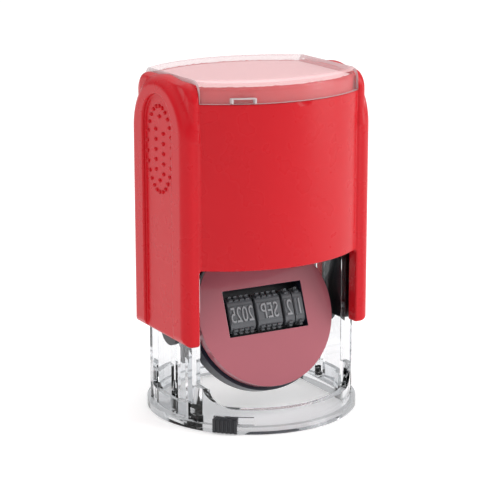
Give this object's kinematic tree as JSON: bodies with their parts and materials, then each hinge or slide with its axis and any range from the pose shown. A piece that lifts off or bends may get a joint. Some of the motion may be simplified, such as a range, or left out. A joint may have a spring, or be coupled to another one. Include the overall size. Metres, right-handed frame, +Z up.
{
  "type": "round self-inking date stamp",
  "caption": "Round self-inking date stamp with a press handle, a turn-over die with a band dater, an ink pad and a clear base.",
  "frame": {"origin": "middle of the foot ring, on the surface it stands on", "axes": "+Z up along the press stroke, -Y is the front where the die shows, +X to the right seen from the front"},
  "size_m": [0.059, 0.059, 0.0952],
  "materials": {
    "red_plastic": "glossy moulded",
    "clear_plastic": "clear moulded polystyrene",
    "black_plastic": "satin moulded",
    "ink_foam": "ink-soaked felt",
    "rose_rubber": "glossy cast rubber",
    "band_rubber": "satin rubber",
    "foam": "foam sheet",
    "steel": "drawn wire and rod",
    "card": "smooth card"
  },
  "bodies": {
    "base": {"base_frame": "clear_plastic", "foot_pads": "black_plastic", "pad_cartridge": "black_plastic", "ink_pad": "ink_foam", "main_spring": "steel"},
    "handle": {"housing": "red_plastic", "inner_arm_left": "black_plastic", "inner_arm_right": "black_plastic", "index_card": "card"},
    "cap": {"clear_cap": "clear_plastic"},
    "die": {"die_holder": "black_plastic", "cushion_sheet": "foam", "text_plate": "rose_rubber", "pivot_pin_left": "steel", "pivot_pin_right": "steel", "dater_frame": "black_plastic", "nose_bar": "black_plastic", "wheel_axle": "steel", "axle_clips": "steel", "band_year": "band_rubber", "band_month": "band_rubber", "band_day_ones": "band_rubber", "band_day_tens": "band_rubber"},
    "year_wheel": {"wheel_year": "black_plastic"},
    "month_wheel": {"wheel_month": "black_plastic"},
    "day_ones_wheel": {"wheel_day_ones": "black_plastic"},
    "day_tens_wheel": {"wheel_day_tens": "black_plastic"},
    "slider": {"lock_slider": "black_plastic"}
  },
  "joints": [
    {"name": "press", "type": "slide", "parent": "base", "child": "handle", "axis": [0, 0, -1], "range_m": [-0.01025, 0.0165], "stiffness_N_per_m": 500, "springref_m": -0.00112, "deforming": ["main_spring"]},
    {"name": "flip", "type": "hinge", "parent": "handle", "child": "die", "pos_m": [0, 0, 0.0252], "axis": [1, 0, 0], "range_deg": [-69, 111]},
    {"name": "cap_lift", "type": "slide", "parent": "handle", "child": "cap", "axis": [0, 0, 1], "range_m": [0, 0.03]},
    {"name": "lock_slide", "type": "hinge", "parent": "base", "child": "slider", "pos_m": [0, 0, 0.0035], "axis": [0, 0, 1], "range_deg": [0, 8]},
    {"name": "year_turn", "type": "hinge", "parent": "die", "child": "year_wheel", "pos_m": [0, 0.0056, 0.02305], "axis": [1, 0, 0], "continuous": true},
    {"name": "month_turn", "type": "hinge", "parent": "die", "child": "month_wheel", "pos_m": [0, 0.0056, 0.02305], "axis": [1, 0, 0], "continuous": true},
    {"name": "day_ones_turn", "type": "hinge", "parent": "die", "child": "day_ones_wheel", "pos_m": [0, 0.0056, 0.02305], "axis": [1, 0, 0], "continuous": true},
    {"name": "day_tens_turn", "type": "hinge", "parent": "die", "child": "day_tens_wheel", "pos_m": [0, 0.0056, 0.02305], "axis": [1, 0, 0], "continuous": true}
  ],
  "couplings": [
    {"joint": "flip", "follows": "press", "rad_per_m": 117.41}
  ]
}
